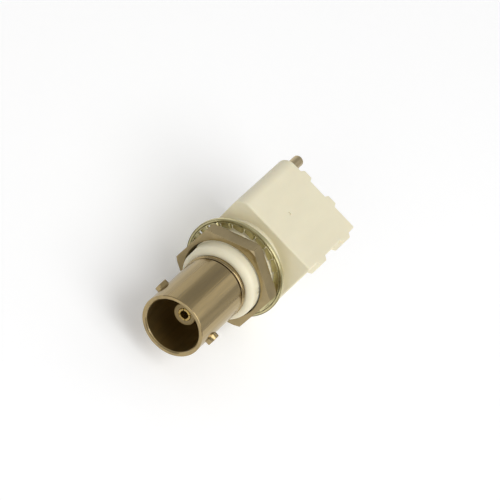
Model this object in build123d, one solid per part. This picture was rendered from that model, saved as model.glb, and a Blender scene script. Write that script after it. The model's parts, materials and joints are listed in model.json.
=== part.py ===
from build123d import *
import math
import os

# Insulated bulkhead coaxial jack for a circuit board, in millimetres.
# The axis is Y and the mating end points to -Y. The board lies in the plane y = 0.
# +Z is the normal of the block's large face, and +X is the side with the feet.

# Housing block
block_length = 13.88
block_left = 6.8
block_right = 7.7
block_height = 15.0
block_round = 1.8
block_heel_round = 4.0
block_edge = 0.25

# Rear standoffs, which seat on the board
standoff_height = 0.62
standoff_base = 2.0
standoff_tip = 1.5
standoff_depth = 1.9
standoff_x = 2.55

# Side feet
foot_height = 0.62
foot_base = 2.4
foot_tip = 1.3
foot_depth = 2.8
foot_rear_offset = 3.0
foot_pitch = 7.35

# Threaded sleeve, 1/2-28 UNEF
sleeve_length = 8.5
thread_radius = 6.35
sleeve_round = 1.0
flat_depth = 0.45

# Recess in the rear of the block
recess_radius = 5.15
recess_depth = 2.8

# Shell, mating barrel
barrel_length = 12.5
barrel_radius = 4.85
mouth_radius = 4.15
mouth_depth = 8.6
rim_chamfer = 0.12
mouth_chamfer = 0.22

# Shell, bayonet lugs
lug_radius = 1.0
lug_height = 0.66
lug_setback = 4.25
lug_chamfer = 0.12

# Shell, lip and groove at the barrel's root
lip_radius = 4.95
lip_length = 0.6
lip_gap = 0.3
neck_radius = 4.75
groove_radius = 4.6
groove_length = 0.3

# Shell, tube through the housing
tube_radius = 4.5
tube_bore = 2.6
insulator_bore = 3.35
spigot_radius = 4.0
spigot_length = 1.2

# Insulators
front_insulator_length = 6.0
rear_insulator_length = 6.4
boss_radius = 1.7
boss_setback = 3.5
boss_chamfer = 0.1

# Centre contact, socket end
socket_radius = 1.0
socket_hole = 0.64
socket_depth = 5.5
socket_chamfer = 0.16
socket_stand_out = 0.06
slot_width = 0.16
slot_length = 4.0
slot_count = 4

# Centre contact, collar and signal pin
collar_radius = 1.6
collar_length = 0.9
shank_radius = 0.5
pin_radius = 0.33
pin_length = 4.7
pin_tip = 0.15
pin_root = 0.3

# Ground terminal
ring_thickness = 0.6
ring_radius = 4.95
tongue_thickness = 0.5
tongue_width = 1.4
tongue_gap = 0.15
tongue_inset = 0.1
tongue_end = 0.9
ground_pin_z = 2.54

# Board posts
post_radius = 0.88
post_length = 3.5
post_tip = 0.3
post_offset = 5.08
post_root_radius = 0.55
post_root_depth = 5.0
post_neck = 0.1

# Hexagon nut
nut_wall = 0.45
nut_thickness = 2.15
nut_gap = 4.4
nut_turn = 27.7
nut_face_share = 1.07
nut_chamfer_angle = 30.0
nut_bore_chamfer = 0.25

# Internal tooth lock washer
washer_overhang = 1.1
washer_band = 0.65
washer_thickness = 0.5
washer_gap = 2.75
tooth_count = 22
tooth_width = 1.6
tooth_twist = 18.0
tooth_root = 0.12

# Clearances
press_clearance = 0.02
nut_clearance = 0.05
washer_clearance = 0.15

# Places along the axis
block_rear = -standoff_height
block_front = block_rear - block_length
sleeve_front = block_front - sleeve_length
mouth_y = sleeve_front - barrel_length
mouth_floor = mouth_y + mouth_depth
lip_rear = sleeve_front - lip_gap
lip_front = lip_rear - lip_length
front_seat = mouth_floor + front_insulator_length
boss_front = mouth_y + boss_setback
contact_front = boss_front - socket_stand_out
recess_floor = block_rear - recess_depth
spigot_root = recess_floor - press_clearance
shell_rear = spigot_root + spigot_length
rear_seat = shell_rear - rear_insulator_length
nut_rear = block_front - nut_gap
nut_front = nut_rear - nut_thickness
washer_middle = block_front - washer_gap - washer_thickness / 2

# Sizes that follow the thread
sleeve_flat = thread_radius - flat_depth
nut_across_flats = 2 * (thread_radius + nut_wall)
washer_radius = nut_across_flats / 2 + washer_overhang
washer_rim = washer_radius - washer_band

# Bores that pieces fit into
tube_hole = tube_radius + press_clearance
socket_fit = socket_radius + press_clearance
shank_fit = shank_radius + press_clearance
spigot_fit = spigot_radius + press_clearance
post_fit = post_root_radius + press_clearance
insulator_radius = insulator_bore - press_clearance


def turned(outline):
    """A solid of revolution about Y, from its outline as (radius, y) points."""
    return revolve(make_face(Polyline(outline, close=True)), Axis.Y)


def turned_bar(radius, start, end, tip=0.0):
    """A round bar on the axis from y = start to y = end, chamfered at its end by tip."""
    outline = [(0, start), (radius, start), (radius, end - tip), (radius - tip, end), (0, end)]
    if tip == 0:
        outline.pop(3)
    return turned(outline)


def top_prism(outline, top, depth):
    """An outline in plan, as (x, y) points, that reaches from z = top down by depth."""
    plan = Plane.XY.offset(top - depth)
    return extrude(plan * make_face(Polyline(outline, close=True)), depth)


def brick(x_span, y_span, z_span):
    """A rectangular solid between two values on each axis."""
    size = [high - low for low, high in (x_span, y_span, z_span)]
    middle = [(low + high) / 2 for low, high in (x_span, y_span, z_span)]
    return Pos(*middle) * Box(*size)


def make_block():
    """The block, with three of its long edges rounded and the others broken."""
    middle_x = (block_right - block_left) / 2
    section = Pos(middle_x, 0) * Rectangle(block_left + block_right, block_height)
    section = fillet(section.vertices().group_by(Axis.X)[0], block_round)
    section = fillet(section.vertices().group_by(Axis.X)[-1].sort_by(Axis.Y)[0], block_heel_round)
    section = chamfer(section.vertices().group_by(Axis.Y)[-1].sort_by(Axis.X)[-1], block_edge)
    block = extrude(Plane.XZ.offset(-block_rear) * section, block_length)
    ends = block.faces().sort_by(Axis.Y)
    return chamfer(ends[0].edges() + ends[-1].edges(), block_edge)


def make_sleeve():
    """The threaded sleeve at its thread's outer diameter, with the flat on its -X side."""
    root = block_front + block_edge
    sleeve = turned_bar(thread_radius, sleeve_front, root)
    sleeve = fillet(sleeve.edges().sort_by(Axis.Y)[0], sleeve_round)
    beyond_flat = (-2 * thread_radius, -sleeve_flat)
    return sleeve - brick(beyond_flat, (sleeve_front, block_front), (-thread_radius, thread_radius))


def make_foot(middle_y, top):
    """A side foot, tapered in plan, on the block's +X side."""
    inside = block_right - block_edge
    outside = block_right + foot_height
    outline = [
        (inside, middle_y - foot_base / 2),
        (block_right, middle_y - foot_base / 2),
        (outside, middle_y - foot_tip / 2),
        (outside, middle_y + foot_tip / 2),
        (block_right, middle_y + foot_base / 2),
        (inside, middle_y + foot_base / 2),
    ]
    return top_prism(outline, top, foot_depth)


def make_standoff(middle_x, top):
    """A rear standoff, tapered in plan, on the block's rear face."""
    inside = block_rear - block_edge
    outline = [
        (middle_x - standoff_base / 2, inside),
        (middle_x - standoff_base / 2, block_rear),
        (middle_x - standoff_tip / 2, 0),
        (middle_x + standoff_tip / 2, 0),
        (middle_x + standoff_base / 2, block_rear),
        (middle_x + standoff_base / 2, inside),
    ]
    return top_prism(outline, top, standoff_depth)


def post_place(side):
    """The place of a board post on the board, for the upper (1) or the lower (-1) one."""
    return Pos(-side * post_offset, 0, side * post_offset)


def make_housing():
    """The plastic moulding: block, sleeve, feet and standoffs, bored for what it holds."""
    half = block_height / 2
    first_foot = block_rear - foot_rear_offset
    housing = make_block() + make_sleeve()
    for middle_y in (first_foot, first_foot - foot_pitch):
        housing += make_foot(middle_y, half)
    for standoff_top in (half, -half + standoff_depth):
        for middle_x in (-standoff_x, standoff_x):
            housing += make_standoff(middle_x, standoff_top)
    housing -= turned_bar(tube_hole, sleeve_front, block_rear)
    housing -= turned_bar(recess_radius, recess_floor, block_rear)
    for side in (1, -1):
        root = turned_bar(post_fit, block_rear - post_root_depth, block_rear)
        housing -= post_place(side) * root
    return housing


def make_lug(side):
    """A bayonet lug, standing out of the barrel on the +X (1) or -X (-1) side."""
    middle_y = mouth_y + lug_setback
    inside = (barrel_radius + mouth_radius) / 2
    reach = barrel_radius + lug_height
    lug = Cylinder(lug_radius, reach - inside, align=(Align.CENTER, Align.CENTER, Align.MIN))
    lug = chamfer(lug.edges().sort_by(Axis.Z)[-1], lug_chamfer)
    seat = Plane(origin=(side * inside, middle_y, 0), z_dir=(side, 0, 0))
    return seat * lug


def make_shell():
    """The turned metal body: barrel, groove, lip, and the tube through the housing."""
    shell = turned(
        [
            (barrel_radius - rim_chamfer, mouth_y),
            (barrel_radius, mouth_y + rim_chamfer),
            (barrel_radius, lip_front - groove_length),
            (groove_radius, lip_front - groove_length),
            (groove_radius, lip_front),
            (lip_radius, lip_front),
            (lip_radius, lip_rear),
            (neck_radius, lip_rear),
            (neck_radius, sleeve_front),
            (tube_radius, sleeve_front),
            (tube_radius, spigot_root),
            (spigot_radius, spigot_root),
            (spigot_radius, shell_rear),
            (insulator_bore, shell_rear),
            (insulator_bore, rear_seat),
            (tube_bore, rear_seat),
            (tube_bore, front_seat),
            (insulator_bore, front_seat),
            (insulator_bore, mouth_floor),
            (mouth_radius, mouth_floor),
            (mouth_radius, mouth_y + mouth_chamfer),
            (mouth_radius + mouth_chamfer, mouth_y),
        ]
    )
    return shell + make_lug(1) + make_lug(-1)


def make_front_insulator():
    """The insulator behind the mating bore, with the boss round the contact."""
    return turned(
        [
            (socket_fit, boss_front),
            (boss_radius - boss_chamfer, boss_front),
            (boss_radius, boss_front + boss_chamfer),
            (boss_radius, mouth_floor),
            (insulator_radius, mouth_floor),
            (insulator_radius, front_seat),
            (socket_fit, front_seat),
        ]
    )


def make_rear_insulator():
    """The bush that centres the contact's shank in the shell's rear end."""
    return turned(
        [
            (shank_fit, rear_seat),
            (insulator_radius, rear_seat),
            (insulator_radius, shell_rear),
            (shank_fit, shell_rear),
        ]
    )


def make_centre_contact():
    """The slotted socket, its collar, and the tail that is the signal pin."""
    socket_floor = contact_front + socket_depth
    contact = turned(
        [
            (socket_hole + socket_chamfer, contact_front),
            (socket_radius, contact_front),
            (socket_radius, front_seat),
            (collar_radius, front_seat),
            (collar_radius, front_seat + collar_length),
            (shank_radius, front_seat + collar_length),
            (shank_radius, -pin_root),
            (pin_radius, -pin_root),
            (pin_radius, pin_length - pin_tip),
            (pin_radius - pin_tip, pin_length),
            (0, pin_length),
            (0, socket_floor),
            (socket_hole, socket_floor),
            (socket_hole, contact_front + socket_chamfer),
        ]
    )
    slot_end = contact_front + slot_length
    half_slot = slot_width / 2
    slot = brick((-half_slot, half_slot), (contact_front, slot_end), (0, 2 * socket_radius))
    for turn in range(slot_count):
        contact -= Rot(0, 360 * (turn + 0.5) / slot_count, 0) * slot
    return contact


def make_ground_terminal():
    """The ring on the shell's spigot, its bent tongue, and the ground pin."""
    ring_rear = recess_floor + ring_thickness
    ring = turned(
        [
            (spigot_fit, recess_floor),
            (ring_radius, recess_floor),
            (ring_radius, ring_rear),
            (spigot_fit, ring_rear),
        ]
    )
    half_width = tongue_width / 2
    tongue_front = shell_rear + tongue_gap
    tongue_rear = tongue_front + tongue_thickness
    outside = ring_radius - tongue_inset
    across = (-half_width, half_width)
    web = brick(across, (recess_floor, tongue_rear), (spigot_fit + tongue_inset, outside))
    tongue = brick(across, (tongue_front, tongue_rear), (ground_pin_z - tongue_end, outside))
    pin = Pos(0, 0, ground_pin_z) * turned_bar(pin_radius, tongue_front, pin_length, pin_tip)
    return ring + web + tongue + pin


def make_post(side):
    """A board post, upper (1) or lower (-1), whose pressed root ends in a short neck."""
    shoulder = block_rear + post_neck
    root = turned_bar(post_root_radius, block_rear - post_root_depth, shoulder)
    shaft = turned_bar(post_radius, shoulder, post_length, post_tip)
    return post_place(side) * (root + shaft)


def make_hex_nut():
    """The panel nut, chamfered at both ends of its corners and of its bore."""
    corner = nut_across_flats / 2 / math.cos(math.pi / 6)
    angles = [math.radians(nut_turn + 60 * step) for step in range(6)]
    hexagon = Polyline([(corner * math.cos(a), corner * math.sin(a)) for a in angles], close=True)
    prism = extrude(Plane.XZ.offset(-nut_rear) * make_face(hexagon), nut_thickness)
    face_radius = nut_across_flats / 2 * nut_face_share
    fall = (corner - face_radius) * math.tan(math.radians(nut_chamfer_angle))
    bore = thread_radius + nut_clearance
    lathe_shape = turned(
        [
            (bore + nut_bore_chamfer, nut_front),
            (face_radius, nut_front),
            (corner, nut_front + fall),
            (corner, nut_rear - fall),
            (face_radius, nut_rear),
            (bore + nut_bore_chamfer, nut_rear),
            (bore, nut_rear - nut_bore_chamfer),
            (bore, nut_front + nut_bore_chamfer),
        ]
    )
    return prism & lathe_shape


def make_lock_washer():
    """The spring ring with its row of twisted teeth round the inside."""
    front = washer_middle - washer_thickness / 2
    rear = washer_middle + washer_thickness / 2
    outline = [(washer_rim, front), (washer_radius, front), (washer_radius, rear), (washer_rim, rear)]
    washer = turned(outline)
    tooth_tip = thread_radius + washer_clearance
    reach = washer_rim + tooth_root - tooth_tip
    blade = Box(tooth_width, washer_thickness, reach, align=(Align.CENTER, Align.CENTER, Align.MIN))
    tooth = Pos(0, washer_middle, tooth_tip) * Rot(0, 0, tooth_twist) * blade
    for turn in range(tooth_count):
        washer += Rot(0, 360 * turn / tooth_count, 0) * tooth
    return washer


def main():
    """Builds every piece and writes one file for each."""
    pieces = {
        "housing": make_housing(),
        "shell": make_shell(),
        "front_insulator": make_front_insulator(),
        "rear_insulator": make_rear_insulator(),
        "centre_contact": make_centre_contact(),
        "ground_terminal": make_ground_terminal(),
        "post_upper": make_post(1),
        "post_lower": make_post(-1),
        "hex_nut": make_hex_nut(),
        "lock_washer": make_lock_washer(),
    }
    os.makedirs("parts", exist_ok=True)
    for name, piece in pieces.items():
        export_step(piece, f"parts/{name}.step")
        print(name, round(piece.volume, 2))


if __name__ == "__main__":
    main()
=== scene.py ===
"""Bulkhead coaxial jack for a circuit board: its finished pieces, the stage and the camera."""

import json
import math

import bmesh
import bpy
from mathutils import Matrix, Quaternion, Vector

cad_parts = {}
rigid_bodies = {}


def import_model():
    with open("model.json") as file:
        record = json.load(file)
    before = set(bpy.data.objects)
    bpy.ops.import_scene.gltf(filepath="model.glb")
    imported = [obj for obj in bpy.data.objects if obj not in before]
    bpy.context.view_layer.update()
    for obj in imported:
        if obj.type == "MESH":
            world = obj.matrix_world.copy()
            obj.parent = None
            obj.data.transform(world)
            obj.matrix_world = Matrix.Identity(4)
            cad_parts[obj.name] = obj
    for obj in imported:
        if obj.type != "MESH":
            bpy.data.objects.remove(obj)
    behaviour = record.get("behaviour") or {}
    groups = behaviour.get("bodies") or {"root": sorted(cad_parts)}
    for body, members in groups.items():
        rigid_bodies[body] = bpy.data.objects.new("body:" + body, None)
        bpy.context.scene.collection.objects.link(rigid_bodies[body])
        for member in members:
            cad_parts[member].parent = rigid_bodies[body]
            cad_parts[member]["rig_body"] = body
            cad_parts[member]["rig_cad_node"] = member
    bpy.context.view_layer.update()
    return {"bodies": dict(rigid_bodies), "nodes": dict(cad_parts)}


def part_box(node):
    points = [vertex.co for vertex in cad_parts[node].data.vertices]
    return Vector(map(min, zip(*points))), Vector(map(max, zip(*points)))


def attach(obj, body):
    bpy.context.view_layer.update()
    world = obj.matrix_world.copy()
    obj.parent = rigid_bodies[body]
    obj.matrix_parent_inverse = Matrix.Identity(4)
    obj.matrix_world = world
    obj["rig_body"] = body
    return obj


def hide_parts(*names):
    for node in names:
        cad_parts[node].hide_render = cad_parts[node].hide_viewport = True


bl_info = {
    "name": "Board Jack",
    "version": (1, 0, 0),
    "blender": (4, 5, 0),
    "location": "View3D > Sidebar > Jack",
    "description": "Models the finished pieces of a bulkhead coaxial jack over its solids",
    "category": "Object",
}

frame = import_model()

MM = 0.001
AXIS = Vector((0.0, 1.0, 0.0))


def edges_of(node):
    """A solid's lowest and highest corner, in millimetres."""
    low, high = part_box(node)
    return low / MM, high / MM


HOUSING_LOW, HOUSING_HIGH = edges_of("housing")
SHELL_LOW, SHELL_HIGH = edges_of("shell")
BOSS_LOW, BOSS_HIGH = edges_of("front_insulator")
BUSH_LOW, BUSH_HIGH = edges_of("rear_insulator")
CONTACT_LOW, CONTACT_HIGH = edges_of("centre_contact")
NUT_LOW, NUT_HIGH = edges_of("hex_nut")
WASHER_LOW, WASHER_HIGH = edges_of("lock_washer")
POST_LOW, POST_HIGH = edges_of("post_upper")

# Places along the axis, in millimetres
BLOCK_REAR = -0.62
BLOCK_FRONT = -14.5
SLEEVE_FRONT = HOUSING_LOW.y
RECESS_FLOOR = -3.42
TUBE_STEP = RECESS_FLOOR - 0.02
LIP_REAR = SLEEVE_FRONT - 0.3
LIP_FRONT = LIP_REAR - 0.6
GROOVE_FRONT = LIP_FRONT - 0.3
MOUTH = SHELL_LOW.y
MOUTH_FLOOR = MOUTH + 8.6
LUG_PLACE = MOUTH + 4.25
SOCKET_FLOOR = CONTACT_LOW.y + 5.5
SLOT_FLOOR = CONTACT_LOW.y + 4.0
COLLAR_REAR = BOSS_HIGH.y + 0.9
TAIL_END = -0.3
POST_HOLE_END = -5.62
POST_SHOULDER = BLOCK_REAR + 0.1
FOOT_PLACES = (BLOCK_REAR - 3.0, BLOCK_REAR - 10.35)

# The housing across the axis, in millimetres
BLOCK_LEFT = 6.8
BLOCK_RIGHT = 7.7
BLOCK_TOP = HOUSING_HIGH.z
THREAD_RADIUS = 6.35
SLEEVE_FLAT = 5.75
TUBE_HOLE = 4.52
RECESS_RADIUS = 5.15
POST_HOLE = 0.57
POST_REACH = 5.08
STUB_ROOT = 0.6
FOOT_WIDTH = 2.4
FOOT_TIP = 1.3
FOOT_HEIGHT = 2.8
STANDOFF_WIDTH = 2.0
STANDOFF_HEIGHT = 1.9
STANDOFF_PLACE = 2.55
STANDOFF_TAPER = 0.75
STUB_EDGE = 0.1
GATE_PLACE = (-0.22, -9.21)
GATE_DEPTH = 0.12

# The thread's outline over one turn, as shares of its pitch and of its depth
THREAD_FORM = (
    (0.0, 0.0),
    (0.1, 0.0),
    (0.17, 0.12),
    (0.36, 0.88),
    (0.43, 1.0),
    (0.57, 1.0),
    (0.64, 0.88),
    (0.83, 0.12),
    (0.9, 0.0),
    (1.0, 0.0),
)

# The shell's radii, in millimetres
BARREL_RADIUS = 4.85
GROOVE_RADIUS = 4.6
LIP_RADIUS = 4.95
NECK_RADIUS = 4.75
TUBE_RADIUS = 4.5
TUBE_END_RADIUS = 4.0
CORE_RADIUS = 3.35
WEB_RADIUS = 2.6
BORE_RADIUS = 4.15
LUG_RADIUS = 1.0
LUG_EDGE = 0.14
DULL_RADIUS = 4.2
RIM_ROUND = 0.16
RIM_BEVEL = 0.22
LIP_ROUND = 0.24

# The insulators, the contact and the posts across their own axes, in millimetres
INSULATOR_RADIUS = 3.33
INSULATOR_HOLE = 1.02
BOSS_RADIUS = 1.7
BOSS_BEVEL = 0.1
BOSS_EDGE = 0.05
BUSH_HOLE = 0.52
BUSH_EDGE = 0.08
SOCKET_RADIUS = 1.0
SOCKET_FACE = (0.68, 0.93)
SOCKET_HOLE = 0.64
SOCKET_EDGE = 0.02
SLOT_WIDTH = 0.1
SLOT_HEIGHT = 1.3
SLOT_COUNT = 4
COLLAR_RADIUS = 1.6
TAIL_RADIUS = 0.5
PIN_RADIUS = 0.33
PIN_TIP = 0.18
PIN_BEVEL = 0.15
TERMINAL_EDGE = 0.05
POST_ROOT = 0.55
POST_RADIUS = 0.88
POST_ROUND = 0.3

# The nut and the washer, in millimetres and degrees
NUT_FLATS = 13.6
NUT_TURN = 27.7
NUT_FACE = NUT_FLATS / 2 * 1.1
NUT_HOLE = THREAD_RADIUS + 0.05
NUT_SINK = 0.22
RING_HOLE = WASHER_HIGH.x - 0.65
RING_THICKNESS = 0.5
GROOVE_DEPTH = 0.12
TOOTH_TIP = THREAD_RADIUS + 0.15
TOOTH_WIDTH = 1.74
TOOTH_THICKNESS = 0.45
TOOTH_TWIST = 18
TOOTH_COUNT = 22

# The stage, in metres and watts
FLOOR_SIZE = 4.0
FLOOR_HEIGHT = -8.25 * MM
FLOOR_GLOW = 0.19
SURROUND_STRENGTH = 0.48
LAMP_TARGET = Vector((0, -0.018, 0))
LAMPS = (
    ("upper_right_softbox", (0.32, -0.14, 0.48), (0.50, 0.50), 2.1),
    ("front_fill", (0.0, -0.62, 0.20), (0.36, 0.36), 0.42),
    ("rear_left_panel", (-0.46, 0.46, 0.08), (0.46, 0.38), 0.19),
    ("rear_right_panel", (0.20, 0.46, 0.385), (0.36, 0.24), 0.125),
    ("low_right_panel", (0.43, 0.47, 0.13), (0.30, 0.26), 0.045),
)
CAMERA_PLACE = (0.003206, -0.362063, 0.307716)
CAMERA_TURN = Quaternion((0.8367558, 0.3798946, -0.1592388, 0.3607809))
CAMERA_LENS = 231.4
SENSOR_WIDTH = 36.0


def linear(red, green, blue):
    """A display colour of 0 to 255 as the linear colour that a shader takes."""
    return tuple(
        (c / 255 / 12.92) if c <= 10 else ((c / 255 + 0.055) / 1.055) ** 2.4
        for c in (red, green, blue)
    )


def length(name, description, millimetres):
    """A length that a user can change."""
    return bpy.props.FloatProperty(
        name=name,
        description=description,
        default=millimetres * MM,
        min=0.0,
        precision=5,
        unit="LENGTH",
    )


def colour(name, description, red, green, blue):
    """A colour that a user can change."""
    return bpy.props.FloatVectorProperty(
        name=name,
        description=description,
        default=linear(red, green, blue),
        min=0.0,
        max=1.0,
        size=3,
        subtype="COLOR",
    )


class JackSizes(bpy.types.PropertyGroup):
    """Sizes that the solids leave open."""

    pitch: length("Thread pitch", "Travel of the nut in one turn", 25.4 / 28)
    thread_depth: length("Thread depth", "Depth of the sleeve's thread", 0.46)
    nut_thread_depth: length("Nut thread depth", "Depth of the thread in the nut", 0.44)
    plain_front: length("Plain front", "Smooth length at the sleeve's front end", 2.44)
    sleeve_round: length("Sleeve rounding", "Radius of the sleeve's front edge", 1.0)
    block_round: length("Block rounding", "Radius of the block's two left edges", 1.8)
    heel_round: length("Heel rounding", "Radius of the block's lower right edge", 4.0)
    moulded_edge: length("Moulded edge", "Radius of the moulding's other edges", 0.25)
    turned_edge: length("Turned edge", "Radius of the barrel's edges", 0.05)
    nut_edge: length("Nut edge", "Radius of the nut's edges", 0.07)
    washer_edge: length("Washer edge", "Radius of the washer's edges", 0.03)
    gate_radius: length("Gate mark", "Radius of the gate mark on the block's top", 0.24)
    round_steps: bpy.props.IntProperty(
        name="Steps round",
        description="Faces round the barrel and the sleeve",
        default=128,
        min=24,
        max=256,
    )


class JackColours(bpy.types.PropertyGroup):
    """Colours of the finishes and the stage."""

    cream: colour("Cream plastic", "Moulded housing", 238, 230, 201)
    nickel: colour("Nickel", "Turned barrel", 161, 139, 91)
    nut_nickel: colour("Nut nickel", "Panel nut", 160, 141, 96)
    bronze: colour("Washer", "Plated spring bronze", 206, 197, 148)
    gold: colour("Gold", "Socket contact", 206, 176, 92)
    insulator: colour("Insulator", "Insulator and its boss", 162, 140, 92)
    tin: colour("Tin", "Board pins and posts", 190, 172, 132)
    floor: colour("Floor", "Stage floor", 252, 252, 252)


# Modelling helpers


def clear_selection():
    """Leaves object mode with nothing selected."""
    if bpy.context.object and bpy.context.object.mode != "OBJECT":
        bpy.ops.object.mode_set(mode="OBJECT")
    bpy.ops.object.select_all(action="DESELECT")


def only(piece):
    """Selects one piece and makes it active."""
    clear_selection()
    piece.select_set(True)
    bpy.context.view_layer.objects.active = piece


def named(name):
    """Names the piece that was just added."""
    piece = bpy.context.object
    piece.name = name
    piece.data.name = name
    return piece


def apply_place(piece):
    """Moves a piece's place, turn and scale into its mesh."""
    only(piece)
    bpy.ops.object.transform_apply(location=True, rotation=True, scale=True)


def box(name, low, high):
    """A block between two corners, in millimetres."""
    clear_selection()
    low, high = Vector(low) * MM, Vector(high) * MM
    bpy.ops.mesh.primitive_cube_add(size=1, location=(low + high) / 2, scale=high - low)
    piece = named(name)
    apply_place(piece)
    return piece


def bar(name, radius, start, end, direction="Y", steps=48, place=(0.0, 0.0)):
    """A round bar along one axis, in millimetres. place gives its two other coordinates."""
    clear_selection()
    middle = (start + end) / 2
    turns = {"X": (0, math.pi / 2, 0), "Y": (math.pi / 2, 0, 0), "Z": (0, 0, 0)}
    spots = {
        "X": (middle, place[0], place[1]),
        "Y": (place[0], middle, place[1]),
        "Z": (place[0], place[1], middle),
    }
    bpy.ops.mesh.primitive_cylinder_add(
        vertices=steps,
        radius=radius * MM,
        depth=abs(end - start) * MM,
        location=Vector(spots[direction]) * MM,
        rotation=turns[direction],
    )
    piece = named(name)
    apply_place(piece)
    return piece


def draw(name, points, closed=True):
    """An outline drawn beside the axis through (radius, y) points, in millimetres."""
    clear_selection()
    spots = [Vector((radius, y, 0.0)) * MM for radius, y in points]
    bpy.ops.mesh.primitive_plane_add(size=MM, location=spots[0])
    piece = named(name)
    apply_place(piece)
    edit_all()
    bpy.ops.mesh.merge(type="CENTER")
    if closed:
        spots.append(spots[0])
    for last, spot in zip(spots, spots[1:]):
        bpy.ops.mesh.extrude_vertices_move(TRANSFORM_OT_translate={"value": spot - last})
    tidy_points()
    bpy.ops.object.mode_set(mode="OBJECT")
    return piece


def edit_all():
    """Opens the active piece in edit mode with all of it selected, point by point."""
    bpy.ops.object.mode_set(mode="EDIT")
    bpy.ops.mesh.select_mode(type="VERT")
    bpy.ops.mesh.select_all(action="SELECT")


def tidy_points():
    """Merges points that lie on each other, in edit mode."""
    bpy.ops.mesh.select_all(action="SELECT")
    bpy.ops.mesh.remove_doubles(threshold=0.0005 * MM)


def face_outwards():
    """Merges points and turns every face outwards, then leaves edit mode."""
    tidy_points()
    bpy.ops.mesh.normals_make_consistent(inside=False)
    bpy.ops.object.mode_set(mode="OBJECT")


def turned(name, points, steps):
    """A turned piece: an outline spun once round the axis, open where its ends lie on the axis."""
    piece = draw(name, points, closed=points[0][0] > 0)
    edit_all()
    bpy.ops.mesh.spin(
        steps=steps, angle=2 * math.pi, center=(0, 0, 0), axis=AXIS, use_auto_merge=True
    )
    face_outwards()
    return piece


def turn(piece, angle, axis="Y", centre=(0, 0, 0)):
    """Turns a piece's whole mesh by an angle in radians, about a centre in metres."""
    only(piece)
    edit_all()
    bpy.ops.transform.rotate(value=angle, orient_axis=axis, center_override=centre)
    bpy.ops.object.mode_set(mode="OBJECT")


def apply_modifier(piece, kind, **settings):
    """Adds one modifier to a piece and applies it."""
    only(piece)
    modifier = piece.modifiers.new(kind.title(), kind)
    for key, value in settings.items():
        setattr(modifier, key, value)
    bpy.ops.object.modifier_apply(modifier=modifier.name)


def combine(piece, other, operation):
    """Cuts, fuses or intersects a piece with another, which is then removed."""
    apply_modifier(piece, "BOOLEAN", object=other, operation=operation, solver="EXACT")
    bpy.data.objects.remove(other)


def soften(piece, width, segments=2, angle=30.0):
    """Rounds a piece's sharp edges by a small radius in metres, and shades it smooth."""
    apply_modifier(
        piece,
        "BEVEL",
        width=width,
        segments=segments,
        limit_method="ANGLE",
        angle_limit=math.radians(angle),
        harden_normals=False,
        use_clamp_overlap=True,
    )
    shade(piece)


def shade(piece, angle=32.0):
    """Shades a piece smooth apart from its sharp edges, with its large faces true."""
    only(piece)
    bpy.ops.object.shade_smooth_by_angle(angle=math.radians(angle))
    apply_modifier(piece, "WEIGHTED_NORMAL", keep_sharp=True)


def near(value, target):
    """Whether two coordinates agree within a hundredth of a millimetre."""
    return abs(value - target) < 0.01


def pick_edges(piece, test):
    """Selects the edges whose middle and direction, in millimetres, pass a test."""
    bpy.ops.mesh.select_mode(type="EDGE")
    bpy.ops.mesh.select_all(action="DESELECT")
    mesh = bmesh.from_edit_mesh(piece.data)
    for edge in mesh.edges:
        start, end = (v.co / MM for v in edge.verts)
        edge.select_set(test((start + end) / 2, (end - start).normalized()))
    bmesh.update_edit_mesh(piece.data)


def pick_faces(piece, test):
    """Selects the faces whose normal passes a test."""
    bpy.ops.mesh.select_mode(type="FACE")
    bpy.ops.mesh.select_all(action="DESELECT")
    mesh = bmesh.from_edit_mesh(piece.data)
    for face in mesh.faces:
        face.select_set(test(face.normal))
    bmesh.update_edit_mesh(piece.data)


def trim(piece, place, away):
    """Cuts off what lies beyond a plane, on the side that away points to, and closes the cut."""
    only(piece)
    edit_all()
    bpy.ops.mesh.bisect(
        plane_co=Vector(place) * MM,
        plane_no=away,
        use_fill=True,
        clear_outer=True,
        threshold=0.0001 * MM,
    )
    face_outwards()


def arc(middle_radius, middle_y, radius, start, end, steps):
    """Points of an arc in an outline, by angle in degrees from the outward direction."""
    angles = [math.radians(start + (end - start) * i / steps) for i in range(steps + 1)]
    return [(middle_radius + radius * math.cos(a), middle_y + radius * math.sin(a)) for a in angles]


def threaded_bar(name, crest, depth, pitch, start, end, steps):
    """A solid bar with a right-handed thread between two places on the axis."""
    root = crest - depth
    first = math.floor(start / pitch) - 2
    turns = math.ceil(end / pitch) + 2 - first
    outline = [(root + rise * depth, (first + share) * pitch) for share, rise in THREAD_FORM]
    piece = draw(name, outline, closed=False)
    apply_modifier(
        piece,
        "SCREW",
        axis="Y",
        angle=2 * math.pi,
        screw_offset=pitch * MM,
        iterations=turns,
        steps=steps,
        render_steps=steps,
        use_merge_vertices=False,
    )
    trim(piece, (0, start, 0), (0, -1, 0))
    trim(piece, (0, end, 0), (0, 1, 0))
    return piece


def copies_round(piece, count):
    """Joins count copies of a piece, set round the axis, into one."""
    rings = [piece]
    for step in range(1, count):
        only(piece)
        bpy.ops.object.duplicate(linked=False)
        twin = bpy.context.object
        turn(twin, 2 * math.pi * step / count)
        rings.append(twin)
    return join(rings)


def join(group):
    """Joins pieces into the first of them."""
    clear_selection()
    for piece in group:
        piece.select_set(True)
    bpy.context.view_layer.objects.active = group[0]
    bpy.ops.object.join()
    return group[0]


def copy_of(node, name):
    """A merged copy of a solid's mesh, with its flat faces whole."""
    source = frame["nodes"][node]
    only(source)
    bpy.ops.object.duplicate(linked=False)
    piece = named(name)
    piece.parent = None
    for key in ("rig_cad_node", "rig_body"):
        if key in piece:
            del piece[key]
    piece.data.materials.clear()
    edit_all()
    bpy.ops.mesh.customdata_custom_splitnormals_clear()
    tidy_points()
    bpy.ops.mesh.dissolve_limited(angle_limit=math.radians(0.8))
    bpy.ops.object.mode_set(mode="OBJECT")
    return piece


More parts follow.
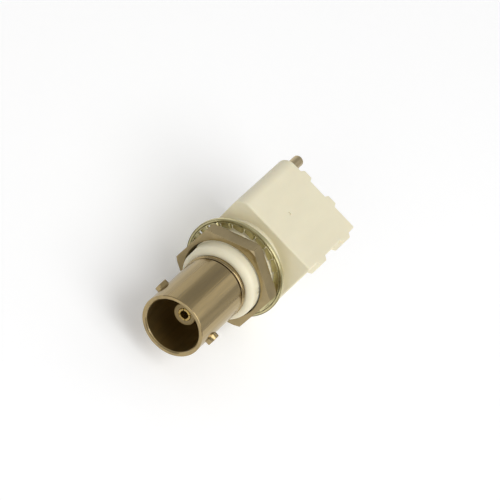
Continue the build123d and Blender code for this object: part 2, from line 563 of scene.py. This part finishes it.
def finish(piece, body, slot, material, *nodes):
    """Gives a finished piece its material, its body and the solids that it stands for."""
    clear_selection()
    piece.data.materials.clear()
    piece.data.materials.append(material)
    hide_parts(*nodes)
    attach(piece, body)


# Finishes


class Finish:
    """A node material that is built up one node at a time."""

    def __init__(self, name, roughness, metallic):
        self.material = bpy.data.materials.new(name)
        self.material.use_nodes = True
        self.tree = self.material.node_tree
        self.tree.nodes.clear()
        self.output = self.add("ShaderNodeOutputMaterial")
        self.shader = self.add("ShaderNodeBsdfPrincipled", Roughness=roughness, Metallic=metallic)
        self.join(self.shader, "BSDF", self.output, "Surface")
        self.place = self.add("ShaderNodeTexCoord")

    def set_shader(self, **values):
        """Sets the shader's own sockets by name."""
        for key, value in values.items():
            self.shader.inputs[key.replace("_", " ")].default_value = value

    def add(self, kind, **values):
        """Adds a node and sets its input sockets by name."""
        node = self.tree.nodes.new(kind)
        for key, value in values.items():
            node.inputs[key.replace("_", " ")].default_value = value
        return node

    def join(self, source, output, target, socket):
        """Links one node's output to another's input."""
        self.tree.links.new(source.outputs[output], target.inputs[socket])

    def film(self):
        """Warms what a metal reflects at a glancing angle, and lays a thin clear film on it."""
        self.set_shader(
            Specular_Tint=(0.8, 0.75, 0.62, 1.0),
            Coat_Weight=0.5,
            Coat_IOR=1.9,
            Coat_Roughness=0.16,
        )

    def spots(self, scale, detail=3.0, stretch=(1, 1, 1)):
        """Noise over the piece, of scale spots to the metre, stretched along the axes."""
        mapping = self.add("ShaderNodeMapping", Scale=stretch)
        noise = self.add("ShaderNodeTexNoise", Scale=scale, Detail=detail, Roughness=0.55)
        self.join(self.place, "Object", mapping, "Vector")
        self.join(mapping, "Vector", noise, "Vector")
        return noise

    def rings(self, count, distortion=0.6):
        """Fine turning lines round the axis, of about count lines to the metre."""
        wave = self.add(
            "ShaderNodeTexWave", Scale=count * math.pi / 10, Distortion=distortion, Detail=2.0
        )
        wave.bands_direction = "Y"
        self.join(self.place, "Object", wave, "Vector")
        return wave

    def spread(self, source, output, low, high, start=0.3, end=0.7):
        """Maps a value between start and end to one between low and high."""
        ranged = self.add(
            "ShaderNodeMapRange", From_Min=start, From_Max=end, To_Min=low, To_Max=high
        )
        self.join(source, output, ranged, "Value")
        return ranged

    def larger(self, first, first_output, second, second_output):
        """The larger of two values."""
        most = self.add("ShaderNodeMath")
        most.operation = "MAXIMUM"
        self.join(first, first_output, most, 0)
        self.join(second, second_output, most, 1)
        return most

    def tint(self, source, output, first, second, start=0.3, end=0.7):
        """Blends two colours by a texture."""
        ramp = self.add("ShaderNodeValToRGB")
        ramp.color_ramp.elements[0].position = start
        ramp.color_ramp.elements[0].color = (*first, 1.0)
        ramp.color_ramp.elements[1].position = end
        ramp.color_ramp.elements[1].color = (*second, 1.0)
        self.join(source, output, ramp, "Fac")
        return ramp

    def paint_corner_shade(self, colour_node, depth, darkest):
        """Painted shade: darkens the base colour by ambient occlusion where surfaces meet closely,
        within depth millimetres.
        """
        corner = self.add("ShaderNodeAmbientOcclusion", Distance=depth * MM)
        corner.samples = 12
        share = self.spread(corner, "AO", darkest, 1.0, start=0.25, end=0.8)
        scaled = self.add("ShaderNodeVectorMath")
        scaled.operation = "SCALE"
        self.join(colour_node, "Color", scaled, "Vector")
        self.join(share, "Result", scaled, "Scale")
        self.join(scaled, "Vector", self.shader, "Base Color")

    def dull_inside(self, gloss, radius, roughness):
        """Roughens what lies nearer to the axis than radius millimetres."""
        across = self.add("ShaderNodeMapping", Scale=(1.0, 0.0, 1.0))
        distance = self.add("ShaderNodeVectorMath")
        distance.operation = "LENGTH"
        self.join(self.place, "Object", across, "Vector")
        self.join(across, "Vector", distance, "Vector")
        edge = (radius + 0.1) * MM
        inside = self.spread(distance, "Value", roughness, 0.0, start=radius * MM, end=edge)
        most = self.larger(gloss, "Result", inside, "Result")
        self.join(most, "Value", self.shader, "Roughness")

    def bump(self, source, output, strength, depth, under=None):
        """Raises the surface by a texture, by depth millimetres."""
        bump = self.add("ShaderNodeBump", Strength=strength, Distance=depth * MM)
        self.join(source, output, bump, "Height")
        if under:
            self.join(under, "Normal", bump, "Normal")
        return bump


def shade_of(base, factor):
    """A colour made darker or lighter."""
    return tuple(min(1.0, channel * factor) for channel in base)


def moulded_plastic(name, base):
    """Satin moulded plastic with faint flow marks and a fine spark-eroded grain."""
    look = Finish(name, roughness=0.42, metallic=0.0)
    flow = look.spots(320.0, detail=3.0, stretch=(1.0, 0.35, 1.0))
    grain = look.spots(9000.0, detail=2.0)
    tint = look.tint(flow, "Fac", shade_of(base, 0.965), shade_of(base, 1.02))
    # Painted shade: the cream is darkened to three quarters in corners and between parts
    look.paint_corner_shade(tint, depth=0.3, darkest=0.75)
    gloss = look.spread(grain, "Fac", 0.36, 0.5)
    look.join(gloss, "Result", look.shader, "Roughness")
    fine = look.bump(grain, "Fac", strength=0.25, depth=0.006)
    waves = look.bump(flow, "Fac", strength=0.15, depth=0.02, under=fine)
    look.join(waves, "Normal", look.shader, "Normal")
    look.set_shader(
        Subsurface_Weight=0.12,
        Subsurface_Scale=0.6 * MM,
        Subsurface_Radius=(1.0, 0.75, 0.45),
        IOR=1.5,
    )
    return look.material


def turned_metal(name, base, roughness, lines=9000.0, streak=0.3, dull_radius=0.0):
    """Turned and plated metal: lines round the axis, stains and grooves drawn along it, pits."""
    look = Finish(name, roughness=roughness, metallic=1.0)
    stain = look.spots(900.0, detail=5.0, stretch=(1.0, 0.06, 1.0))
    worn = look.spots(5200.0, detail=2.0)
    drawn = look.spots(1500.0, detail=3.0, stretch=(1.0, 0.03, 1.0))
    tint = look.tint(stain, "Fac", shade_of(base, 0.76), shade_of(base, 1.14))
    # Painted shade: the metal is darkened to less than half in corners and between parts
    look.paint_corner_shade(tint, depth=0.4, darkest=0.45)
    gloss = look.spread(stain, "Fac", roughness * 1.3, roughness * 0.8)
    look.dull_inside(gloss, dull_radius, 0.5)
    lathe = look.bump(look.rings(lines), "Fac", strength=0.06, depth=0.002)
    pits = look.bump(worn, "Fac", strength=0.08, depth=0.003, under=lathe)
    grooves = look.bump(drawn, "Fac", strength=0.8, depth=0.05, under=pits)
    look.join(grooves, "Normal", look.shader, "Normal")
    look.film()
    look.set_shader(Anisotropic=streak)
    tangent = look.add("ShaderNodeTangent")
    tangent.direction_type = "RADIAL"
    tangent.axis = "Y"
    look.join(tangent, "Tangent", look.shader, "Tangent")
    return look.material


def plated_metal(name, base, roughness):
    """Stamped or tumbled metal under a dull plating, with soft dents and a few scratches."""
    look = Finish(name, roughness=roughness, metallic=1.0)
    stain = look.spots(380.0, detail=4.0)
    worn = look.spots(1500.0, detail=2.0)
    scratched = look.spots(2600.0, detail=3.0, stretch=(1.0, 0.15, 0.5))
    tint = look.tint(stain, "Fac", shade_of(base, 0.85), shade_of(base, 1.1))
    # Painted shade: the plating is darkened to a quarter in corners and between parts, which draws
    # dark outlines round the teeth
    look.paint_corner_shade(tint, depth=0.6, darkest=0.25)
    gloss = look.spread(scratched, "Fac", roughness * 1.3, roughness * 0.8)
    look.join(gloss, "Result", look.shader, "Roughness")
    dents = look.bump(worn, "Fac", strength=0.2, depth=0.02)
    scratches = look.bump(scratched, "Fac", strength=0.15, depth=0.006, under=dents)
    look.join(scratches, "Normal", look.shader, "Normal")
    look.film()
    return look.material


def white_paper(name, base):
    """Matt paper, pale grey in the light that it casts, and white to the camera and in metal."""
    look = Finish(name, roughness=0.9, metallic=0.0)
    tooth = look.spots(2500.0, detail=2.0)
    tint = look.tint(tooth, "Fac", shade_of(base, 0.9), shade_of(base, 0.92))
    look.join(tint, "Color", look.shader, "Base Color")
    ray = look.add("ShaderNodeLightPath")
    seen = look.larger(ray, "Is Camera Ray", ray, "Is Glossy Ray")
    shown = look.larger(seen, "Value", ray, "Is Transmission Ray")
    lift = look.spread(shown, "Value", 0.0, FLOOR_GLOW, start=0.0, end=1.0)
    look.join(lift, "Result", look.shader, "Emission Strength")
    look.set_shader(Emission_Color=(*base, 1.0), Specular_IOR_Level=0.1)
    return look.material


# Pieces


class JACK_OT_housing(bpy.types.Operator):
    """The cream moulding: block, threaded sleeve with its flat, feet and standoffs"""

    bl_idname = "jack.housing"
    bl_label = "Housing"

    def execute(self, context):
        sizes = context.scene.jack_sizes
        block = self.block(sizes)
        for part in (*self.feet(), *self.standoffs()):
            combine(block, part, "UNION")
        for cutter in (*self.holes(), self.gate(sizes), self.bore(sizes)):
            combine(block, cutter, "DIFFERENCE")
        sleeve = self.sleeve(sizes)
        beyond_flat = box("flat", (-9, SLEEVE_FRONT - 1, -9), (-SLEEVE_FLAT, BLOCK_FRONT + 2, 9))
        for cutter in (beyond_flat, self.bore(sizes)):
            combine(sleeve, cutter, "DIFFERENCE")
        housing = join([block, sleeve])
        housing.name = "housing_moulding"
        shade(housing, 30.0)
        cream = moulded_plastic("cream_moulded_plastic", context.scene.jack_colours.cream)
        finish(housing, "connector", "cream_plastic", cream, "housing")
        return {"FINISHED"}

    def block(self, sizes):
        """The block, with its long edges rounded before its two ends."""
        low = (-BLOCK_LEFT, BLOCK_FRONT, -BLOCK_TOP)
        block = box("block", low, (BLOCK_RIGHT, BLOCK_REAR, BLOCK_TOP))
        bpy.ops.object.mode_set(mode="EDIT")

        def left(at, way):
            return abs(way.y) > 0.99 and near(at.x, -BLOCK_LEFT)

        def heel(at, way):
            return abs(way.y) > 0.99 and near(at.x, BLOCK_RIGHT) and near(at.z, -BLOCK_TOP)

        def outer(at, way):
            at_end = near(at.y, BLOCK_FRONT) or near(at.y, BLOCK_REAR)
            return at_end or (near(at.x, BLOCK_RIGHT) and near(at.z, BLOCK_TOP))

        for test, radius, segments in (
            (left, sizes.block_round, 12),
            (heel, sizes.heel_round, 20),
            (outer, sizes.moulded_edge, 4),
        ):
            pick_edges(block, test)
            bpy.ops.mesh.bevel(offset=radius, segments=segments, affect="EDGES")
        bpy.ops.object.mode_set(mode="OBJECT")
        return block

    def stub(self, name, low, high, way, reach, share):
        """A tapered stub: a box whose outer face is drawn out and narrowed across."""
        piece = box(name, low, high)
        bpy.ops.object.mode_set(mode="EDIT")
        pick_faces(piece, lambda normal: normal.dot(way) > 0.9)
        bpy.ops.mesh.extrude_region_move(TRANSFORM_OT_translate={"value": way * reach * MM})
        middle = (Vector(low) + Vector(high)) / 2 * MM
        scale = (1, share, 1) if way.x else (share, 1, 1)
        bpy.ops.transform.resize(value=scale, center_override=middle)
        bpy.ops.object.mode_set(mode="OBJECT")
        soften(piece, STUB_EDGE * MM)
        return piece

    def feet(self):
        """The two feet at the top of the block's right side."""
        way = Vector((1, 0, 0))
        reach = HOUSING_HIGH.x - BLOCK_RIGHT
        for middle in FOOT_PLACES:
            low = (BLOCK_RIGHT - STUB_ROOT, middle - FOOT_WIDTH / 2, BLOCK_TOP - FOOT_HEIGHT)
            high = (BLOCK_RIGHT, middle + FOOT_WIDTH / 2, BLOCK_TOP)
            yield self.stub("foot", low, high, way, reach, FOOT_TIP / FOOT_WIDTH)

    def standoffs(self):
        """The four standoffs on the block's rear face."""
        way = Vector((0, 1, 0))
        for bottom in (BLOCK_TOP - STANDOFF_HEIGHT, -BLOCK_TOP):
            for middle in (-STANDOFF_PLACE, STANDOFF_PLACE):
                low = (middle - STANDOFF_WIDTH / 2, BLOCK_REAR - STUB_ROOT, bottom)
                high = (middle + STANDOFF_WIDTH / 2, BLOCK_REAR, bottom + STANDOFF_HEIGHT)
                yield self.stub("standoff", low, high, way, -BLOCK_REAR, STANDOFF_TAPER)

    def sleeve(self, sizes):
        """The sleeve: its thread and its smooth rounded front end."""
        radius = sizes.sleeve_round / MM
        plain_end = SLEEVE_FRONT + sizes.plain_front / MM
        depth = sizes.thread_depth / MM
        pitch = sizes.pitch / MM
        steps = sizes.round_steps
        side = THREAD_RADIUS - depth + 0.02
        front = [(0, SLEEVE_FRONT)]
        front += arc(side - radius, SLEEVE_FRONT + radius, radius, -90, 0, 10)
        front += [(side, plain_end), (0, plain_end)]
        nose = turned("nose", front, steps)
        ends = (plain_end - 0.3, BLOCK_FRONT + 0.6)
        thread = threaded_bar("sleeve_thread", THREAD_RADIUS - 0.005, depth, pitch, *ends, steps)
        combine(thread, nose, "UNION")
        return thread

    def bore(self, sizes):
        """What is cut out for the shell, with the wider recess at the rear."""
        before, behind = SLEEVE_FRONT - 0.3, BLOCK_REAR + 1.0
        outline = [
            (0, before),
            (TUBE_HOLE + 0.4, before),
            (TUBE_HOLE, SLEEVE_FRONT + 0.1),
            (TUBE_HOLE, RECESS_FLOOR),
            (RECESS_RADIUS, RECESS_FLOOR),
            (RECESS_RADIUS, behind),
            (0, behind),
        ]
        return turned("bore", outline, sizes.round_steps)

    def holes(self):
        """The holes for the roots of the two posts."""
        for side in (1, -1):
            place = (-side * POST_REACH, side * POST_REACH)
            yield bar("post_hole", POST_HOLE, POST_HOLE_END, 0.5, steps=32, place=place)

    def gate(self, sizes):
        """The shallow gate mark on the block's top."""
        radius = sizes.gate_radius / MM
        floor, above = BLOCK_TOP - GATE_DEPTH, BLOCK_TOP + 0.5
        return bar("gate", radius, floor, above, "Z", steps=24, place=GATE_PLACE)


class JACK_OT_shell(bpy.types.Operator):
    """The turned barrel with its lip and groove, the tube behind it and the two bayonet lugs"""

    bl_idname = "jack.shell"
    bl_label = "Barrel shell"

    def execute(self, context):
        sizes = context.scene.jack_sizes
        rim = BARREL_RADIUS - RIM_ROUND
        bead = LIP_RADIUS - LIP_ROUND
        outline = [
            *arc(rim, MOUTH + RIM_ROUND, RIM_ROUND, -90, 0, 4),
            (BARREL_RADIUS, GROOVE_FRONT),
            (GROOVE_RADIUS, GROOVE_FRONT),
            (GROOVE_RADIUS, LIP_FRONT),
            *arc(bead, LIP_FRONT + LIP_ROUND, LIP_ROUND, -90, 0, 5),
            *arc(bead, LIP_REAR - LIP_ROUND, LIP_ROUND, 0, 90, 5),
            (NECK_RADIUS, LIP_REAR),
            (NECK_RADIUS, SLEEVE_FRONT),
            (TUBE_RADIUS, SLEEVE_FRONT),
            (TUBE_RADIUS, TUBE_STEP),
            (TUBE_END_RADIUS, TUBE_STEP),
            (TUBE_END_RADIUS, SHELL_HIGH.y),
            (CORE_RADIUS, SHELL_HIGH.y),
            (CORE_RADIUS, BUSH_LOW.y),
            (WEB_RADIUS, BUSH_LOW.y),
            (WEB_RADIUS, BOSS_HIGH.y),
            (CORE_RADIUS, BOSS_HIGH.y),
            (CORE_RADIUS, MOUTH_FLOOR),
            (BORE_RADIUS, MOUTH_FLOOR),
            (BORE_RADIUS, MOUTH + RIM_BEVEL),
            (BORE_RADIUS + RIM_BEVEL, MOUTH),
        ]
        shell = turned("barrel_shell", outline, sizes.round_steps)
        for side in (-1, 1):
            ends = (side * TUBE_RADIUS, side * SHELL_HIGH.x)
            lug = bar("lug", LUG_RADIUS, *ends, "X", place=(LUG_PLACE, 0.0))
            soften(lug, LUG_EDGE * MM, segments=3)
            combine(shell, lug, "UNION")
        soften(shell, sizes.turned_edge, angle=40.0)
        base = context.scene.jack_colours.nickel
        nickel = turned_metal("turned_nickel", base, roughness=0.15, dull_radius=DULL_RADIUS)
        finish(shell, "connector", "nickel", nickel, "shell")
        return {"FINISHED"}


class JACK_OT_insulators(bpy.types.Operator):
    """The pale insulator with its boss in the bore, and the bush at the rear"""

    bl_idname = "jack.insulators"
    bl_label = "Insulators"

    def execute(self, context):
        pale = moulded_plastic("pale_insulator", context.scene.jack_colours.insulator)
        outline = [
            (INSULATOR_HOLE, BOSS_LOW.y),
            (BOSS_RADIUS - BOSS_BEVEL, BOSS_LOW.y),
            (BOSS_RADIUS, BOSS_LOW.y + BOSS_BEVEL),
            (BOSS_RADIUS, MOUTH_FLOOR),
            (INSULATOR_RADIUS, MOUTH_FLOOR),
            (INSULATOR_RADIUS, BOSS_HIGH.y),
            (INSULATOR_HOLE, BOSS_HIGH.y),
        ]
        boss = turned("boss_insulator", outline, 96)
        soften(boss, BOSS_EDGE * MM)
        finish(boss, "connector", "insulator", pale, "front_insulator")
        outline = [
            (BUSH_HOLE, BUSH_LOW.y),
            (INSULATOR_RADIUS, BUSH_LOW.y),
            (INSULATOR_RADIUS, BUSH_HIGH.y),
            (BUSH_HOLE, BUSH_HIGH.y),
        ]
        bush = turned("rear_bush", outline, 96)
        soften(bush, BUSH_EDGE * MM)
        finish(bush, "connector", "insulator", pale, "rear_insulator")
        return {"FINISHED"}


class JACK_OT_contact(bpy.types.Operator):
    """The slotted gold socket with its collar and signal pin"""

    bl_idname = "jack.contact"
    bl_label = "Centre contact"

    def execute(self, context):
        front, tip = CONTACT_LOW.y, CONTACT_HIGH.y
        face_hole, face_radius = SOCKET_FACE
        outline = [
            (SOCKET_HOLE, front + 0.04),
            (face_hole, front),
            (face_radius, front),
            (SOCKET_RADIUS, front + 0.07),
            (SOCKET_RADIUS, BOSS_HIGH.y),
            (COLLAR_RADIUS, BOSS_HIGH.y),
            (COLLAR_RADIUS, COLLAR_REAR),
            (TAIL_RADIUS, COLLAR_REAR),
            (TAIL_RADIUS, TAIL_END),
            (PIN_RADIUS, TAIL_END),
            (PIN_RADIUS, tip - PIN_BEVEL),
            (PIN_TIP, tip),
            (0, tip),
            (0, SOCKET_FLOOR),
            (SOCKET_HOLE, SOCKET_FLOOR),
        ]
        contact = turned("socket_contact", outline, 64)
        low = (-SLOT_WIDTH / 2, front - 0.2, 0.0)
        slot = box("slot", low, (SLOT_WIDTH / 2, SLOT_FLOOR, SLOT_HEIGHT))
        turn(slot, math.pi / 4)
        combine(contact, copies_round(slot, SLOT_COUNT), "DIFFERENCE")
        soften(contact, SOCKET_EDGE * MM, angle=50.0)
        base = context.scene.jack_colours.gold
        gold = turned_metal("gold_plating", base, roughness=0.4, lines=14000.0, streak=0.2)
        finish(contact, "connector", "gold", gold, "centre_contact")
        return {"FINISHED"}


class JACK_OT_pins(bpy.types.Operator):
    """The two board posts and the ground terminal"""

    bl_idname = "jack.pins"
    bl_label = "Board pins"

    def execute(self, context):
        base = context.scene.jack_colours.tin
        tin = turned_metal("tin_plating", base, roughness=0.36, lines=7000.0)
        end = POST_HIGH.y
        outline = [
            (0, POST_LOW.y),
            (POST_ROOT, POST_LOW.y),
            (POST_ROOT, POST_SHOULDER),
            (POST_RADIUS, POST_SHOULDER),
            *arc(POST_RADIUS - POST_ROUND, end - POST_ROUND, POST_ROUND, 0, 90, 6),
            (0, end),
        ]
        for name, side in (("post_upper", 1), ("post_lower", -1)):
            post = turned(name + "_pin", outline, 64)
            edit_all()
            shift = Vector((-side * POST_REACH, 0, side * POST_REACH)) * MM
            bpy.ops.transform.translate(value=shift)
            bpy.ops.object.mode_set(mode="OBJECT")
            shade(post)
            finish(post, "connector", "pin_metal", tin, name)
        terminal = copy_of("ground_terminal", "ground_tongue")
        soften(terminal, TERMINAL_EDGE * MM, angle=40.0)
        finish(terminal, "connector", "pin_metal", tin, "ground_terminal")
        return {"FINISHED"}


class JACK_OT_nut(bpy.types.Operator):
    """The hexagon panel nut, turned at its corners, with its thread"""

    bl_idname = "jack.nut"
    bl_label = "Panel nut"

    def execute(self, context):
        sizes = context.scene.jack_sizes
        pitch, depth = sizes.pitch / MM, sizes.nut_thread_depth / MM
        steps = sizes.round_steps
        front, rear = NUT_LOW.y, NUT_HIGH.y
        corner = NUT_FLATS / 2 / math.cos(math.pi / 6)
        nut = bar("panel_nut", corner, front, rear, steps=6)
        self.turn_to(nut, NUT_TURN)
        combine(nut, self.lathe_form(corner, front, rear), "INTERSECT")
        tap = threaded_bar("tap", NUT_HOLE + 0.01, depth, pitch, front - 0.4, rear + 0.4, steps)
        combine(nut, tap, "DIFFERENCE")
        combine(nut, self.sink(NUT_HOLE - depth, front, rear, steps), "DIFFERENCE")
        soften(nut, sizes.nut_edge, angle=25.0)
        base = context.scene.jack_colours.nut_nickel
        dull = plated_metal("nut_nickel_plating", base, roughness=0.34)
        finish(nut, "nut", "nut_nickel", dull, "hex_nut")
        return {"FINISHED"}

    def lathe_form(self, corner, front, rear):
        """The double cone that takes off the hexagon's corners at both faces."""
        fall = (corner - NUT_FACE) * math.tan(math.radians(30))
        outside = corner + 0.02
        outline = [(0, front), (NUT_FACE, front), (outside, front + fall)]
        outline += [(outside, rear - fall), (NUT_FACE, rear), (0, rear)]
        return turned("lathe_form", outline, 192)

    def sink(self, inner, front, rear, steps):
        """What is cut out to open both ends of the thread."""
        wide = inner + NUT_SINK
        outline = [(0, front - 0.2), (wide + 0.2, front - 0.2), (wide, front)]
        outline += [(inner, front + NUT_SINK), (inner, rear - NUT_SINK)]
        outline += [(wide, rear), (wide + 0.2, rear + 0.2), (0, rear + 0.2)]
        return turned("sink", outline, steps)

    def turn_to(self, nut, degrees):
        """Turns the six-sided bar so that one corner lies at this angle above +X."""
        start = max((v.co for v in nut.data.vertices), key=lambda co: (co.x, co.z))
        now = math.degrees(math.atan2(start.z, start.x))
        turn(nut, math.radians(degrees - now))


class JACK_OT_washer(bpy.types.Operator):
    """The lock washer with its two fine lines and its twisted inner teeth"""

    bl_idname = "jack.washer"
    bl_label = "Lock washer"

    def execute(self, context):
        sizes = context.scene.jack_sizes
        middle = (WASHER_LOW.y + WASHER_HIGH.y) / 2
        front, rear = middle - RING_THICKNESS / 2, middle + RING_THICKNESS / 2
        bottom = front + GROOVE_DEPTH
        rim = WASHER_HIGH.x
        outline = [
            (RING_HOLE, front),
            (RING_HOLE + 0.14, front),
            (RING_HOLE + 0.2, bottom),
            (RING_HOLE + 0.26, front),
            (rim - 0.14, front),
            (rim - 0.08, bottom),
            (rim - 0.03, front + 0.02),
            (rim, front + 0.08),
            (rim, rear),
            (RING_HOLE, rear),
        ]
        washer = turned("tooth_washer", outline, sizes.round_steps)
        low = (-TOOTH_WIDTH / 2, middle - TOOTH_THICKNESS / 2, TOOTH_TIP)
        high = (TOOTH_WIDTH / 2, middle + TOOTH_THICKNESS / 2, RING_HOLE + 0.12)
        tooth = box("tooth", low, high)
        turn(tooth, math.radians(TOOTH_TWIST), "Z", (0, middle * MM, 0))
        combine(washer, copies_round(tooth, TOOTH_COUNT), "UNION")
        soften(washer, sizes.washer_edge, angle=35.0)
        base = context.scene.jack_colours.bronze
        bronze = plated_metal("plated_spring_bronze", base, roughness=0.34)
        finish(washer, "washer", "spring_bronze", bronze, "lock_washer")
        return {"FINISHED"}


class JACK_OT_stage(bpy.types.Operator):
    """The pale floor, the soft lamps and the camera"""

    bl_idname = "jack.stage"
    bl_label = "Stage and camera"

    def execute(self, context):
        scene = context.scene
        clear_selection()
        bpy.ops.mesh.primitive_plane_add(size=FLOOR_SIZE, location=(0, 0, FLOOR_HEIGHT))
        floor = named("floor")
        apply_place(floor)
        floor.data.materials.append(white_paper("white_paper", scene.jack_colours.floor))
        for lamp in LAMPS:
            self.lamp(*lamp)
        self.world(scene)
        self.camera(scene)
        scene.view_settings.view_transform = "Standard"
        return {"FINISHED"}

    def lamp(self, name, place, size, power):
        """A soft panel that faces the object."""
        clear_selection()
        bpy.ops.object.light_add(type="AREA", location=place)
        lamp = named(name)
        lamp.data.shape = "RECTANGLE"
        lamp.data.size, lamp.data.size_y = size
        lamp.data.energy = power
        aim = LAMP_TARGET - Vector(place)
        lamp.rotation_mode = "QUATERNION"
        lamp.rotation_quaternion = aim.to_track_quat("-Z", "Y")

    def world(self, scene):
        """An even white surround."""
        if scene.world is None:
            scene.world = bpy.data.worlds.new("surround")
        scene.world.use_nodes = True
        tree = scene.world.node_tree
        tree.nodes.clear()
        surround = tree.nodes.new("ShaderNodeBackground")
        surround.inputs["Color"].default_value = (1.0, 1.0, 1.0, 1.0)
        surround.inputs["Strength"].default_value = SURROUND_STRENGTH
        output = tree.nodes.new("ShaderNodeOutputWorld")
        tree.links.new(surround.outputs["Background"], output.inputs["Surface"])

    def camera(self, scene):
        """A long lens that looks down on the mating end."""
        clear_selection()
        bpy.ops.object.camera_add(location=CAMERA_PLACE)
        camera = named("camera")
        camera.data.lens = CAMERA_LENS
        camera.data.sensor_width = SENSOR_WIDTH
        camera.rotation_mode = "QUATERNION"
        camera.rotation_quaternion = CAMERA_TURN
        scene.camera = camera


OPERATORS = (
    JACK_OT_housing,
    JACK_OT_shell,
    JACK_OT_insulators,
    JACK_OT_contact,
    JACK_OT_pins,
    JACK_OT_nut,
    JACK_OT_washer,
    JACK_OT_stage,
)


class JACK_PT_sidebar(bpy.types.Panel):
    """Lists the jack's pieces, sizes and colours"""

    bl_idname = "JACK_PT_sidebar"
    bl_label = "Board jack"
    bl_space_type = "VIEW_3D"
    bl_region_type = "UI"
    bl_category = "Jack"

    def draw(self, context):
        for operator in OPERATORS:
            self.layout.operator(operator.bl_idname)
        for group in (context.scene.jack_sizes, context.scene.jack_colours):
            column = self.layout.column()
            for key in type(group).__annotations__:
                column.prop(group, key)


CLASSES = (JackSizes, JackColours, *OPERATORS, JACK_PT_sidebar)


def register():
    """Registers the classes and their settings."""
    for item in CLASSES:
        bpy.utils.register_class(item)
    bpy.types.Scene.jack_sizes = bpy.props.PointerProperty(type=JackSizes)
    bpy.types.Scene.jack_colours = bpy.props.PointerProperty(type=JackColours)


def unregister():
    """Removes the settings and the classes."""
    del bpy.types.Scene.jack_colours
    del bpy.types.Scene.jack_sizes
    for item in reversed(CLASSES):
        bpy.utils.unregister_class(item)


def main():
    """Makes every piece and the stage."""
    register()
    keep = {*frame["nodes"].values(), *frame["bodies"].values()}
    for spare in [item for item in bpy.data.objects if item not in keep]:
        bpy.data.objects.remove(spare)
    bpy.ops.jack.housing()
    bpy.ops.jack.shell()
    bpy.ops.jack.insulators()
    bpy.ops.jack.contact()
    bpy.ops.jack.pins()
    bpy.ops.jack.nut()
    bpy.ops.jack.washer()
    bpy.ops.jack.stage()


if __name__ == "__main__":
    main()
